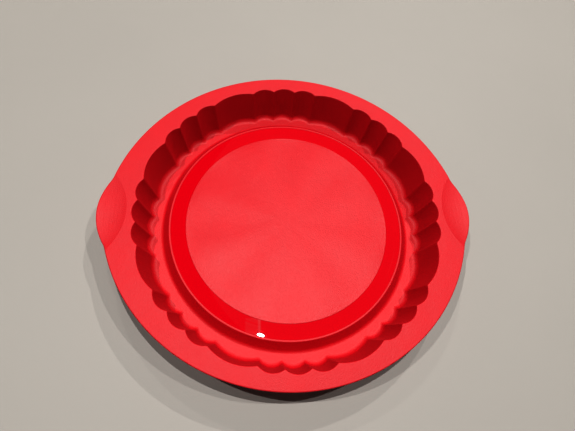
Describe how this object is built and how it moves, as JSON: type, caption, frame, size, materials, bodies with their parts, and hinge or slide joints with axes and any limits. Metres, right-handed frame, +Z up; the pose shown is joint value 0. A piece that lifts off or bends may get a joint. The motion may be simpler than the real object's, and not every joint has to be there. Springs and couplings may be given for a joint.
{
  "type": "silicone pie dish",
  "caption": "Round silicone pie dish with a fluted wall, a channel around a raised centre, and a wide flange with thumb grips.",
  "frame": {"origin": "middle of the dish, on the plane that its base rests on", "axes": "+X towards one grip, +Y across the grips, +Z up out of the dish's mouth"},
  "size_m": [0.3392, 0.3062, 0.0378],
  "materials": {
    "silicone": "moulded silicone, matt, with a polished ring on the raised centre"
  },
  "bodies": {
    "root": {"pie_dish": "silicone"}
  },
  "joints": []
}
